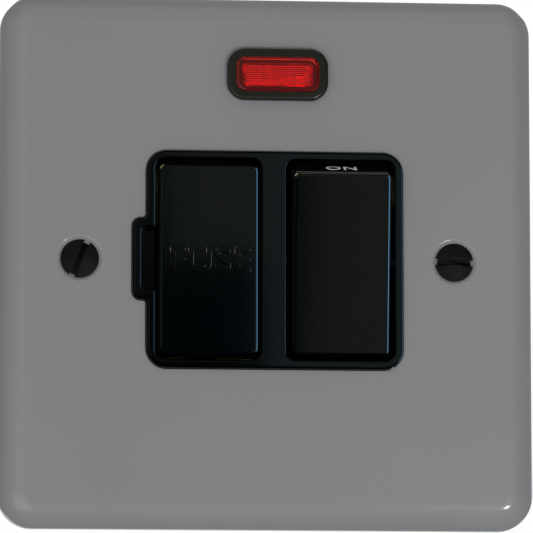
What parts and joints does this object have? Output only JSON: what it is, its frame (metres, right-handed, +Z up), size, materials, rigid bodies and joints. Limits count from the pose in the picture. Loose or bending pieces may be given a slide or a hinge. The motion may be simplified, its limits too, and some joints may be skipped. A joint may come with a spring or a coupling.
{
  "type": "fused spur unit",
  "caption": "Switched fused connection unit for a wall box: grey metal plate, black rocker, pull-out fuse carrier and red neon.",
  "frame": {"origin": "midway between the two fixing screws, in the plane of the wall", "axes": "+X to the right seen from the front, +Y into the wall, +Z up"},
  "size_m": [0.086, 0.0296, 0.086],
  "materials": {
    "grey_enamel": "satin",
    "black_moulding": "gloss",
    "neon_surround": "gloss",
    "red_lens": "gloss",
    "black_screw": "satin",
    "base_moulding": "matte",
    "brass": "satin",
    "tinned_clip": "satin",
    "zinc_screw": "satin",
    "fuse_ceramic": "satin",
    "spring_steel": "satin",
    "plunger_nylon": "satin",
    "lamp_glass": "gloss",
    "resistor_coat": "matte",
    "lead_insulation": "matte"
  },
  "bodies": {
    "housing": {"front_plate": "grey_enamel", "left_fixing_screw": "black_screw", "right_fixing_screw": "black_screw", "insert_frame": "black_moulding", "neon_bezel": "neon_surround", "neon_lens": "red_lens", "neon_lamp": "lamp_glass", "neon_resistor": "resistor_coat", "neon_end_plug": "base_moulding", "neon_leads": "lead_insulation", "base_moulding": "base_moulding", "live_supply_strap": "brass", "fuse_feed_link": "brass", "load_live_clip": "brass", "neutral_supply_strap": "brass", "neutral_load_strap": "brass", "load_live_terminal": "brass", "load_neutral_terminal": "brass", "supply_live_terminal": "brass", "supply_neutral_terminal": "brass", "earth_bar": "brass", "terminal_screws": "zinc_screw", "plate_pillars": "brass", "pillar_screws": "zinc_screw"},
    "fuse_drawer": {"fuse_carrier": "black_moulding", "fuse_body": "fuse_ceramic", "fuse_caps": "tinned_clip"},
    "rocker": {"rocker": "black_moulding", "live_spring": "spring_steel", "neutral_spring": "spring_steel"},
    "live_plunger": {"live_plunger": "plunger_nylon"},
    "neutral_plunger": {"neutral_plunger": "plunger_nylon"},
    "live_contact_bar": {"live_contact_bar": "brass"},
    "neutral_contact_bar": {"neutral_contact_bar": "brass"}
  },
  "joints": [
    {"name": "rocker_tilt", "type": "hinge", "parent": "housing", "child": "rocker", "pos_m": [0.01166, -0.0013, 0], "axis": [-1, 0, 0], "range_deg": [0, 14]},
    {"name": "live_bar_rock", "type": "hinge", "parent": "housing", "child": "live_contact_bar", "pos_m": [0.00766, 0.0077, 0], "axis": [-1, 0, 0], "range_deg": [-22.05, 0.05]},
    {"name": "neutral_bar_rock", "type": "hinge", "parent": "housing", "child": "neutral_contact_bar", "pos_m": [0.01566, 0.0077, 0], "axis": [-1, 0, 0], "range_deg": [-22.05, 0.05]},
    {"name": "fuse_drawer_slide", "type": "slide", "parent": "housing", "child": "fuse_drawer", "axis": [0, -1, 0], "range_m": [0, 0.0126]},
    {"name": "live_plunger_slide", "type": "slide", "parent": "rocker", "child": "live_plunger", "axis": [0, -0.9925, -0.1219], "range_m": [0, 0.001], "stiffness_N_per_m": 50, "deforming": ["live_spring"]},
    {"name": "neutral_plunger_slide", "type": "slide", "parent": "rocker", "child": "neutral_plunger", "axis": [0, -0.9925, -0.1219], "range_m": [0, 0.001], "stiffness_N_per_m": 50, "deforming": ["neutral_spring"]}
  ],
  "couplings": [
    {"joint": "live_bar_rock", "follows": "rocker_tilt", "ratio": -1.5714},
    {"joint": "neutral_bar_rock", "follows": "rocker_tilt", "ratio": -1.5714}
  ]
}
